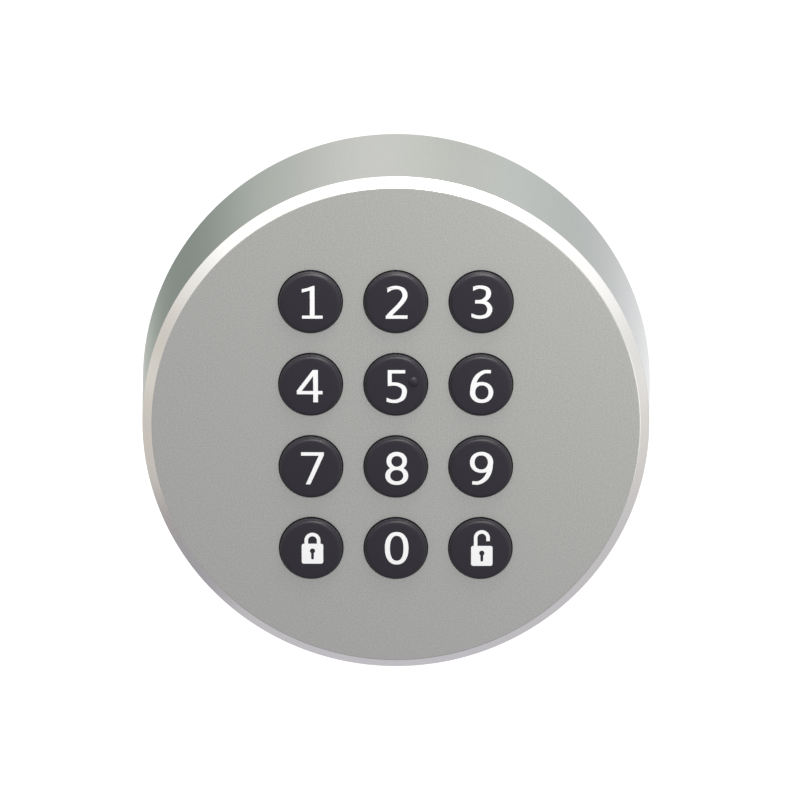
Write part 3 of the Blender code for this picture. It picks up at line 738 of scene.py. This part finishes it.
def characters():
    """Outlines to add and to cut for every key, in millimetres from the middle of the baseline."""
    high, flat = DIGIT_HEIGHT, PEN_FLAT
    one_foot = [(-1.35, 0), (1.95, 0), (1.95, 0.58), (-1.35, 0.58)]
    one_stem = [(-0.12, 0.3), (0.7, 0.3), (0.7, 5.36), (0.3, 5.3), (-0.4, 5.02), (-1.38, 4.79)]
    one_stem += [(-1.38, 4.17), (-0.12, 4.5)]
    two_foot = [(-1.61, 0), (1.86, 0), (1.86, flat), (-1.61, flat)]
    two_path = [(-1.36, 4.56), (-0.72, 4.92), (0.12, 5.04), (1.02, 4.74), (1.42, 3.95)]
    two_path += [(1.2, 3.1), (0.42, 2.1), (-0.5, 1.15), (-1.2, 0.42)]
    three_top = [(-1.34, 4.82), (-0.7, 5.07), (0.12, 5.1), (0.86, 4.81), (1.12, 4.13)]
    three_top += [(0.84, 3.38), (0.05, 2.86), (-1.02, 2.76)]
    three_foot = [(-1.02, 2.76), (0.1, 2.74), (0.93, 2.42), (1.32, 1.58), (0.96, 0.68)]
    three_foot += [(0.1, 0.33), (-0.8, 0.36), (-1.59, 0.62)]
    four = [(0.36, 0), (1.19, 0), (1.19, high), (0.3, high), (-2.2, 1.95), (-2.2, 1.3), (0.36, 1.3)]
    four_bar = [(1.0, 1.3), (1.9, 1.3), (1.9, 1.92), (1.0, 1.92)]
    four_hole = [(0.36, 4.22), (-1.32, 1.92), (0.36, 1.92)]
    five_top = [(-1.31, 4.68), (1.51, 4.68), (1.51, high), (-1.31, high)]
    five_stem = [(-1.31, 2.62), (-0.6, 2.9), (-0.6, 5.0), (-1.31, 5.0)]
    five_path = [(-1.31, 2.95), (-0.4, 3.03), (0.5, 2.88), (1.18, 2.4), (1.34, 1.66)]
    five_path += [(1.0, 0.72), (0.2, 0.26), (-0.7, 0.24), (-1.49, 0.5)]
    six_ring = oval((0.08, 1.66), 1.86, 1.74, 2.1)
    six_hole = oval((0.13, 1.67), 1.0, 1.1, 2.15)
    six_path = [(-1.33, 1.6), (-1.19, 2.97), (-0.62, 4.2), (0.42, 4.96), (1.57, 5.0)]
    six = ([six_ring, stroke(smooth_path(six_path), (False, True))], [six_hole])
    seven = [(-1.58, high), (-1.58, 4.66), (1.15, 4.66), (-0.88, 0), (-0.07, 0)]
    seven += [(2.07, 4.76), (2.07, high)]
    eight = [oval((0.134, 3.85), 1.64, 1.52, 2.1), oval((0.14, 1.45), 1.84, 1.53, 2.1)]
    eight_holes = [oval((0.15, 3.79), 0.82, 0.83, 2.1), oval((0.134, 1.47), 0.98, 0.88, 2.1)]
    return {
        "1": ([one_foot, one_stem], []),
        "2": ([two_foot, stroke(smooth_path(two_path), (True, False))], []),
        "3": ([stroke(smooth_path(three_top)), stroke(smooth_path(three_foot))], []),
        "4": ([four, four_bar], [four_hole]),
        "5": ([five_top, five_stem, stroke(smooth_path(five_path))], []),
        "6": six,
        "7": ([seven], []),
        "8": (eight, eight_holes),
        "9": tuple(half_turned(lines, (0.095, high / 2)) for lines in six),
        "0": ([oval((0.125, 2.62), 1.9, 2.7, 2.25)], [oval((0.13, 2.62), 1.02, 2.0, 2.3)]),
        "lock": padlock(0.194, 1.74, 3.35, 5.14, 3.0),
        "unlock": padlock(0.2, 1.735, 3.36, 5.92, 4.05),
    }


CHARACTERS = characters()


def make_character(name, place, top, materials):
    """A flush inlay in the key's top, a hair proud of it and following its crown."""
    added, cut = CHARACTERS[name]
    baseline = ROW_BASELINES[SAME_ROW.get(name, name)]
    sunk = 0.12 * MM

    middle = DIGIT_HEIGHT / 2

    def slab(outline, distance, bottom, height):
        scaled = [
            (
                (x * CHARACTER_SCALE + CHARACTER_SHIFT) * MM,
                ((y - middle) * CHARACTER_SCALE + middle + baseline) * MM,
            )
            for x, y in inset(outline, distance)
        ]
        return prism(bmesh.new(), scaled, bottom, height)

    mesh = mesh_from("character", slab(added[0], CHARACTER_INSET, -sunk, 0))
    for outline in added[1:]:
        mesh = boolean(mesh, "UNION", slab(outline, CHARACTER_INSET, -sunk, 0))
    for outline in cut:
        mesh = boolean(mesh, "DIFFERENCE", slab(outline, -CHARACTER_INSET, -sunk - MM, MM))
    mesh = gridded(mesh, 0.4 * MM)
    edge = KEY_RADIUS - SHOULDER_WIDTH
    for vertex in mesh.vertices:
        fall = KEY_CROWN * (vertex.co.xy.length / edge) ** 2
        vertex.co.z += top + CHARACTER_PROUD - fall
    mesh.transform(Matrix.Translation((place.x, place.y, 0)))
    stand_up(f"mark_{name}", mesh, f"cap_{name}", [], [materials["mark"]])


def gridded(mesh, pitch):
    """Cuts the mesh along a grid of upright planes, so that it can follow a curved surface."""
    shape = bmesh.new()
    shape.from_mesh(mesh)
    for axis in (Vector((1, 0, 0)), Vector((0, 1, 0))):
        for k in range(-8, 9):
            everything = shape.verts[:] + shape.edges[:] + shape.faces[:]
            bmesh.ops.bisect_plane(
                shape, geom=everything, dist=1e-7, plane_co=axis * (k * pitch), plane_no=axis
            )
    shape.to_mesh(mesh)
    shape.free()
    return mesh


# Key mat.


def make_key_mat(materials):
    """A sheet with windows, and a hollow dome for every key."""
    low, high = bench_box("key_mat")
    sheet_top = low.z + 1.0 * MM
    profile = rounded(
        [
            (10 * MM, sheet_top),
            (high.x, sheet_top, 0.2 * MM),
            (high.x, low.z, 0.2 * MM),
            (10 * MM, low.z),
        ]
    )
    mesh = mesh_from("sheet", lathe(bmesh.new(), profile, PLATE_FACETS))
    cuts = bmesh.new()
    below, above = low.z - MM, sheet_top + MM
    dome_hole, boss_hole = 3.9 * MM, 3.3 * MM
    holes = [(dome_hole, f"key_{name}") for name in KEY_NAMES]
    holes += [(boss_hole, f"frame_screw_{number}") for number in FOUR]
    for radius, node in holes:
        lathe(cuts, [(radius, above), (radius, below)], SMALL_FACETS, bench_centre(node).xy)
    for number in range(1, 7):
        x, y = bench_centre(f"key_light_{number}").xy
        half = 1.3 * MM
        outline = rounded_box((x - half, y - half), (x + half, y + half), 0.4 * MM)
        prism(cuts, outline, below, above)
    mesh = boolean(mesh, "DIFFERENCE", cuts)
    stand_up(
        "mat_sheet", mesh, "keypad", ["key_mat"], [materials["silicone"]]
    )
    dome = rounded(
        [
            (dome_hole, sheet_top),
            (4.75 * MM, sheet_top),
            (4.15 * MM, sheet_top + 0.12 * MM, 0.3 * MM),
            (2.75 * MM, high.z, 0.3 * MM),
            (1.2 * MM, high.z, 0.2 * MM),
            (1.0 * MM, high.z - 0.12 * MM, 0.1 * MM),
            (0, high.z - 0.12 * MM),
            (0, high.z - 0.8 * MM),
            (1.9 * MM, high.z - 0.8 * MM, 0.2 * MM),
        ]
    )
    for name in KEY_NAMES:
        place = bench_centre(f"key_{name}").xy
        mesh = mesh_from("dome", lathe(bmesh.new(), dome, DOME_FACETS, place, loop=True))
        silicone = [materials["silicone"]]
        piece = stand_up(f"mat_dome_{name}", mesh, "keypad", [], silicone)
        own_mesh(piece)


# Cells, springs and screws.


def make_cells(materials):
    """AAA cells: crimped jacket with a band at the positive end, nub and insulating ring."""
    band_length, crimp_depth = 8.5 * MM, 0.07 * MM
    for number in FOUR:
        node = f"battery_{number}"
        low, high = bench_box(node)
        radius, length = (high.x - low.x) / 2, high.y - low.y
        centre = (low + high) / 2
        nub_up = number % 2 == 1
        end, waist = length / 2, radius - crimp_depth
        profile = rounded(
            [
                (0, end),
                (1.85 * MM, end, 0.25 * MM),
                (1.9 * MM, end - 1.0 * MM, 0.1 * MM),
                (3.1 * MM, end - 1.05 * MM),
                (3.3 * MM, end - 1.2 * MM),
                (4.3 * MM, end - 1.2 * MM, 0.1 * MM),
                (4.45 * MM, end - 1.0 * MM, 0.08 * MM),
                (radius - 0.3 * MM, end - 1.0 * MM, 0.2 * MM),
                (radius, end - 1.4 * MM, 0.2 * MM),
                (radius, end - 1.9 * MM),
                (waist, end - 2.1 * MM),
                *((waist, end - down) for down in (band_length, 20 * MM, 32 * MM)),
                (waist, 0.6 * MM - end),
                (radius, 0.4 * MM - end),
                (radius - 0.25 * MM, -end, 0.15 * MM),
                (4.3 * MM, -end, 0.05 * MM),
                (4.1 * MM, 0.15 * MM - end),
                (3.6 * MM, 0.1 * MM - end),
                (3.4 * MM, -end),
                (0, -end),
            ]
        )
        mesh = mesh_from("cell", lathe(bmesh.new(), profile, CELL_FACETS))

        def paint(place, up=nub_up, middle=centre, end=end, radius=radius):
            along = (place.y - middle.y) * (1 if up else -1)
            out = math.hypot(place.x - middle.x, place.z - middle.z)
            if out < 3.2 * MM or out < radius - 0.6 * MM and along < 0:
                return 2
            if out < radius - 0.6 * MM:
                return 3
            return 1 if along > end - band_length else 0

        turned(mesh, -90 if nub_up else 90, "X", centre)
        finishes = [materials[name] for name in ("jacket", "band", "plated", "chip")]
        stand_up(f"cell_{number}", mesh, "keypad", [node], finishes, paint)


def make_springs(materials):
    """Conical coil at the negative end of every cell, with a closed turn at each end."""
    wire = 0.3 * MM
    for number in FOUR:
        node = f"battery_spring_{number}"
        low, high = bench_box(node)
        centre = (low + high) / 2
        away = -1 if number % 2 == 1 else 1
        wide, narrow = (high.x - low.x) / 2 - wire, 2.2 * MM
        reach = (high.y - low.y) / 2 - wire
        turns, per_turn = 3.5, 40
        count = int(turns * per_turn)
        points = []
        for k in range(count + 1):
            share = k / count
            free = min(max((share * turns - 0.75) / (turns - 1.5), 0), 1)
            radius = wide + (narrow - wide) * share
            angle = math.tau * turns * share
            y = centre.y + away * (reach - 2 * reach * free)
            points.append(
                Vector((centre.x + radius * math.cos(angle), y, centre.z + radius * math.sin(angle)))
            )
        mesh = mesh_from("spring", tube_along(points, wire * 0.98, 10))
        stand_up(f"coil_{number}", mesh, "keypad", [node], [materials["plated"]])


def tube_along(points, radius, facets):
    """A round wire that follows the points, with flat ends."""
    shape = bmesh.new()
    rings = []
    side = Vector((0, 1, 0))
    for i, here in enumerate(points):
        along = (points[min(i + 1, len(points) - 1)] - points[max(i - 1, 0)]).normalized()
        side = (side - along * side.dot(along)).normalized()
        up = along.cross(side)
        ring = []
        for k in range(facets):
            angle = math.tau * k / facets
            out = side * math.cos(angle) + up * math.sin(angle)
            ring.append(shape.verts.new(here + radius * out))
        rings.append(ring)
    return skin(shape, rings, facets)


def threaded(shape, start, end, radius, depth, pitch, facets, at):
    """Adds a solid threaded rod between two heights, whose thread fades out at its ends."""
    per_turn = 8
    roundness = 0.8
    steps = int((end - start) / pitch * per_turn)
    rings = []
    for i in range(steps + 1):
        height = start + (end - start) * i / steps
        fade = min(i, steps - i, per_turn) / per_turn
        radii = []
        for k in range(facets):
            phase = (height / pitch + k / facets) % 1
            radii.append(radius - depth * fade * (1 - abs(2 * phase - 1)) ** roundness)
        rings.append(ring_at(shape, at, height, radii))
    return skin(shape, rings, facets)


def make_frame_screws(materials):
    for number in FOUR:
        node = f"frame_screw_{number}"
        low, high = bench_box(node)
        place = ((low + high) / 2).xy
        head = (high.x - low.x) / 2
        seat = low.z + 1.5 * MM
        profile = rounded(
            [
                (0, seat),
                (head, seat, 0.1 * MM),
                (head, low.z + 0.6 * MM, 0.5 * MM),
                (head - 0.6 * MM, low.z, 0.3 * MM),
                (0, low.z),
            ]
        )
        mesh = mesh_from("screw", lathe(bmesh.new(), profile, SMALL_FACETS, place))
        recess = bmesh.new()
        floor, width, arm = low.z + 0.9 * MM, 0.28 * MM, 1.15 * MM
        x, y = place
        box(recess, (x - arm, y - width, low.z - MM), (x + arm, y + width, floor))
        mesh = boolean(mesh, "DIFFERENCE", recess)
        recess = bmesh.new()
        box(recess, (x - width, y - arm, low.z - MM), (x + width, y + arm, floor))
        mesh = boolean(mesh, "DIFFERENCE", recess)
        shank, depth, pitch = 1.1 * MM, 0.2 * MM, 0.8 * MM
        start = seat - 0.1 * MM
        rod = threaded(bmesh.new(), start, high.z, shank, depth, pitch, SCREW_FACETS, place)
        mesh = boolean(mesh, "UNION", rod)
        stand_up(f"screw_{number}", mesh, "keypad", [node], [materials["steel"]])


def make_lock_screw(materials):
    """Grub screw with a coned tip and a hexagon socket."""
    low, high = bench_box("lock_screw")
    radius = (high.x - low.x) / 2
    half = (high.y - low.y) / 2
    depth, pitch = 0.2 * MM, 0.5 * MM
    start, end = -half + 0.1 * MM, half - 0.3 * MM
    rod = threaded(bmesh.new(), start, end, radius, depth, pitch, THREAD_FACETS, (0, 0))
    mesh = mesh_from("grub", rod)
    cone = [
        (0, half),
        (0.75 * MM, half, 0.1 * MM),
        (1.2 * MM, half - 0.5 * MM),
        (0, half - 0.8 * MM),
    ]
    rim = [
        (0, -half),
        (1.2 * MM, -half, 0.05 * MM),
        (1.3 * MM, 0.3 * MM - half),
        (0, 0.4 * MM - half),
    ]
    for corners in (cone, rim):
        mesh = boolean(mesh, "UNION", lathe(bmesh.new(), rounded(corners), THREAD_FACETS))
    across, floor = 0.87 * MM, 1.6 * MM - half
    socket = lathe(bmesh.new(), [(across, floor), (across, -half - MM)], 6)
    mesh = boolean(mesh, "DIFFERENCE", socket)
    turned(mesh, -90, "X", (low + high) / 2)
    stand_up(
        "grub_screw", mesh, "lock_screw_body", ["lock_screw"], [materials["steel"]]
    )


# Wall plate and seals.


def make_wall_plate(materials):
    """Moulded plate with its collar, cored out from behind round the screw bosses."""
    plate_radius = bench_box("wall_plate")[1].x
    plate_top, collar = 2.4 * MM, 9.0 * MM
    outer, inner = 36.3 * MM, 34.3 * MM
    groove, groove_low, groove_high = 34.95 * MM, 1.7 * MM, 3.3 * MM
    profile = rounded(
        [
            (10 * MM, plate_top),
            (inner, plate_top, 0.5 * MM),
            (inner, collar, 0.3 * MM),
            (outer - 0.5 * MM, collar, 0.3 * MM),
            (outer, collar - 0.6 * MM, 0.5 * MM),
            (outer, groove_high, 0.15 * MM),
            (groove, groove_high, 0.2 * MM),
            (groove, groove_low, 0.2 * MM),
            (plate_radius, groove_low, 0.15 * MM),
            (plate_radius, 0, 0.25 * MM),
            (10 * MM, 0),
        ]
    )
    mesh = mesh_from("plate", lathe(bmesh.new(), profile, PLATE_FACETS))

    ribs = bmesh.new()
    rib_place, rib_half, rib_top = 12 * MM, 19 * MM, 3.6 * MM
    for y in (-rib_place, rib_place):
        box(ribs, (-rib_half, y - MM, MM), (rib_half, y + MM, rib_top))
    mesh = boolean(mesh, "UNION", ribs)
    lug = bmesh.new()
    box(lug, (inner + 0.4 * MM, -2.5 * MM, 7 * MM), (outer - 0.5 * MM, 2.5 * MM, 11.4 * MM))
    bmesh.ops.bevel(
        lug, geom=lug.edges[:], offset=0.3 * MM, segments=3, affect="EDGES", profile=0.5
    )
    lug_mesh = mesh_from("lug", lug)
    for degrees in (45, 135):
        one = bmesh.new()
        one.from_mesh(lug_mesh)
        one.transform(Matrix.Rotation(math.radians(degrees), 4, "Z"))
        mesh = boolean(mesh, "UNION", one)

    cuts = bmesh.new()
    circle, head, shank = 25 * MM, 4.3 * MM, 2.1 * MM
    hole = rounded(
        [
            (head, plate_top + 0.1 * MM),
            (shank, plate_top - 2.0 * MM, 0.2 * MM),
            (shank, -MM),
        ]
    )
    for degrees in (0, 90, 180, 270):
        angle = math.radians(degrees)
        place = (circle * math.cos(angle), circle * math.sin(angle))
        lathe(cuts, hole, SMALL_FACETS, place)
    mesh = boolean(mesh, "DIFFERENCE", cuts)
    mesh = boolean(mesh, "DIFFERENCE", make_core_outs())
    stand_up(
        "plate", mesh, "wall_side", ["wall_plate"], [materials["plate"]]
    )


def make_core_outs():
    """What is taken out of the plate's rear: four shallow sectors between ribs and bosses."""
    cuts = bmesh.new()
    depth, inner, outer = 0.9 * MM, 11 * MM, 33 * MM
    gap = 6.2 * MM  # half the width of the rib between two sectors
    for quarter in range(4):
        turn = quarter * 90
        sector = []
        for radius, back in ((outer, False), (inner, True)):
            spare = math.degrees(math.asin(gap / radius))
            angles = [spare + (90 - 2 * spare) * k / 24 for k in range(25)]
            if back:
                angles.reverse()
            for degrees in angles:
                angle = math.radians(degrees + turn)
                sector.append((radius * math.cos(angle), radius * math.sin(angle)))
        prism(cuts, sector, -MM, depth)
    return cuts


def make_seals(materials):
    low, high = bench_box("collar_o_ring")
    minor = (high.z - low.z) / 2
    centre = (high.x - minor, (high.z + low.z) / 2)
    ring = arc(centre, minor, 0, 345, 23)
    rubber = [materials["rubber"]]
    mesh = mesh_from("o_ring", lathe(bmesh.new(), ring, PLATE_FACETS, loop=True))
    stand_up("o_ring", mesh, "wall_side", ["collar_o_ring"], rubber)
    low, high = bench_box("wall_gasket")
    overlap = 0.03 * MM  # closes the hairline against the plate's rim
    outer, inner = high.x, bench_box("wall_plate")[1].x - overlap
    flat = rounded(
        [
            (outer, high.z, 0.1 * MM),
            (outer, low.z, 0.1 * MM),
            (inner, low.z, 0.1 * MM),
            (inner, high.z, 0.1 * MM),
        ],
        closed=True,
    )
    mesh = mesh_from("gasket", lathe(bmesh.new(), flat, PLATE_FACETS, loop=True))
    stand_up("gasket", mesh, "wall_side", ["wall_gasket"], rubber)


# CAD nodes that keep their shape.

CONTACTS = ("positive", "negative", "bridge_upper", "bridge_lower_left", "bridge_lower_right")


def finish_cad_nodes(materials):
    finishes = {
        "main_board": "board",
        "microcontroller": "chip",
        "sounder": "chip",
        "radio_module": "can",
        "service_header": "header",
        "rear_frame": "rear",
        **{f"contact_{name}": "plated" for name in CONTACTS},
        **{f"key_light_{number}": "lamp" for number in range(1, 7)},
    }
    for node, finish in finishes.items():
        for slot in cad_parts[node].material_slots:
            slot.material = materials[finish]


# Studio.

# Brightness of the surroundings at heights from straight down to straight up.
SKY = (
    (-1.0, (0.55, 0.54, 0.58)),
    (-0.75, (0.58, 0.57, 0.59)),
    (-0.25, (0.64, 0.64, 0.63)),
    (0.0, (0.77, 0.77, 0.76)),
    (0.5, (1.1, 1.1, 1.09)),
    (1.0, (1.38, 1.38, 1.38)),
)

# Soft patches of light and shade: azimuth, elevation, half width, and what they add.
# Azimuth 0 is in front of the keys, 90 to the right and 180 behind.
PATCHES = (
    (180, 0, 34, (0.55, 0.55, 0.55)),
    (198.5, -0.5, 22, (-0.78, -0.72, -0.76)),
    (194, -3, 10, (-0.26, -0.26, -0.24)),
    (182, 16, 18, (-0.43, -0.43, -0.44)),
    (163, 3, 20, (-0.24, -0.23, -0.17)),
    (168, 7, 17, (-0.34, -0.31, -0.37)),
    (170, -16, 12, (0.13, 0.13, 0.16)),
    (180, -35, 40, (0.41, 0.41, 0.41)),
    (270, -5, 45, (-0.02, -0.05, -0.09)),
    (257, -44, 19, (-0.22, -0.22, -0.21)),
    (278, 17, 22, (-0.2, -0.2, -0.2)),
    (90, -19, 22, (0.04, 0.02, 0.01)),
    (66, -12, 24, (0.9, 0.9, 0.9)),
    (0, -15, 60, (-0.18, -0.18, -0.16)),
)


def direction(azimuth, elevation):
    """Unit vector towards an azimuth and an elevation in degrees."""
    a, e = math.radians(azimuth), math.radians(elevation)
    return Vector((math.sin(a) * math.cos(e), -math.cos(a) * math.cos(e), math.sin(e)))


def make_world():
    """White to the camera, and to everything else a soft studio by direction."""
    world = bpy.data.worlds.new("studio")
    bpy.context.scene.world = world
    world.use_nodes = True
    tree = world.node_tree
    tree.nodes.clear()
    link = tree.links.new

    def add(kind, **settings):
        return add_node(tree, kind, **settings)

    look = add("ShaderNodeTexCoord").outputs["Generated"]
    parts = add("ShaderNodeSeparateXYZ")
    link(look, parts.inputs[0])
    height = add("ShaderNodeMapRange")
    height.inputs["From Min"].default_value = -1
    link(parts.outputs["Z"], height.inputs["Value"])
    ramp = add_ramp(tree, [((z + 1) / 2, colour) for z, colour in SKY])
    ramp.color_ramp.interpolation = "EASE"
    link(height.outputs[0], ramp.inputs["Fac"])
    total = ramp.outputs["Color"]
    for azimuth, elevation, half_width, colour in PATCHES:
        dot = add("ShaderNodeVectorMath", operation="DOT_PRODUCT")
        link(look, dot.inputs[0])
        dot.inputs[1].default_value = direction(azimuth, elevation)
        near = add("ShaderNodeMapRange", interpolation_type="SMOOTHERSTEP")
        near.inputs["From Min"].default_value = math.cos(math.radians(half_width))
        link(dot.outputs["Value"], near.inputs["Value"])
        tint = add("ShaderNodeVectorMath", operation="MULTIPLY_ADD")
        link(near.outputs[0], tint.inputs[0])
        tint.inputs[1].default_value = colour
        link(total, tint.inputs[2])
        total = tint.outputs[0]
    floor = add("ShaderNodeVectorMath", operation="MAXIMUM")
    link(total, floor.inputs[0])
    floor.inputs[1].default_value = (0.02, 0.02, 0.02)
    studio = add("ShaderNodeBackground")
    link(floor.outputs[0], studio.inputs["Color"])
    white = add("ShaderNodeBackground")
    white.inputs["Color"].default_value = (1, 1, 1, 1)
    rays = add("ShaderNodeLightPath")
    mix = add("ShaderNodeMixShader")
    link(rays.outputs["Is Camera Ray"], mix.inputs["Fac"])
    link(studio.outputs[0], mix.inputs[1])
    link(white.outputs[0], mix.inputs[2])
    out = add("ShaderNodeOutputWorld")
    link(mix.outputs[0], out.inputs["Surface"])


LIGHT_COLOUR = (1, 1, 0.92)
LIGHT_AIM = Vector((0, -28 * MM, 0))

# Area lights: name, place, width, height and power in watts.
LIGHTS = (
    ("key_softbox", (0.13, -0.44, 0.015), 0.14, 0.12, 0.17),
    ("top_softbox", (0.04, -0.1, 0.2), 0.16, 0.06, 0.38),
)


def make_lights():
    """One softbox in front and to the right, and a narrow one above."""
    for name, place, width, height, power in LIGHTS:
        light = bpy.data.lights.new(name, "AREA")
        light.shape = "RECTANGLE"
        light.size, light.size_y = width, height
        light.energy = power
        light.color = LIGHT_COLOUR
        lamp = bpy.data.objects.new(name, light)
        bpy.context.scene.collection.objects.link(lamp)
        lamp.location = place
        aim = LIGHT_AIM - lamp.location
        lamp.rotation_euler = aim.to_track_quat("-Z", "Y").to_euler()


FLOOR_RADIUS = 4.0
FLOOR_HEIGHT = -0.25
FLOOR_FACETS = 96


def make_floor():
    """A plain pale floor well below the unit, which hangs where a wall would be."""
    shape = bmesh.new()
    bmesh.ops.create_circle(shape, cap_ends=True, segments=FLOOR_FACETS, radius=FLOOR_RADIUS)
    mesh = mesh_from("floor", shape)
    floor = bpy.data.objects.new("floor", mesh)
    bpy.context.scene.collection.objects.link(floor)
    floor.location.z = FLOOR_HEIGHT
    finish = Finish(
        "pale_floor",
        (0.93, 0.93, 0.93),
        0.8,
        Emission_Color=(1, 1, 1, 1),
        Emission_Strength=0.12,
    )
    finish.mottled(0.004, 0.2)
    mesh.materials.append(finish.material)
    floor.visible_glossy = False
    floor.visible_diffuse = False


def make_camera():
    data = bpy.data.cameras.new("camera")
    data.sensor_width = SENSOR_WIDTH
    data.lens = CAMERA_LENS
    data.clip_start, data.clip_end = 0.01, 50
    camera = bpy.data.objects.new("camera", data)
    scene = bpy.context.scene
    scene.collection.objects.link(camera)
    back = direction(CAMERA_YAW, CAMERA_PITCH)
    camera.location = CAMERA_AIM + back * CAMERA_DISTANCE
    camera.rotation_euler = (-back).to_track_quat("-Z", "Y").to_euler()
    scene.camera = camera
    scene.view_settings.view_transform = "Standard"


def main():
    materials = make_materials()
    make_housing(materials)
    make_keys(materials)
    make_key_mat(materials)
    make_cells(materials)
    make_springs(materials)
    make_frame_screws(materials)
    make_lock_screw(materials)
    make_wall_plate(materials)
    make_seals(materials)
    finish_cad_nodes(materials)
    make_world()
    make_lights()
    make_floor()
    make_camera()


main()
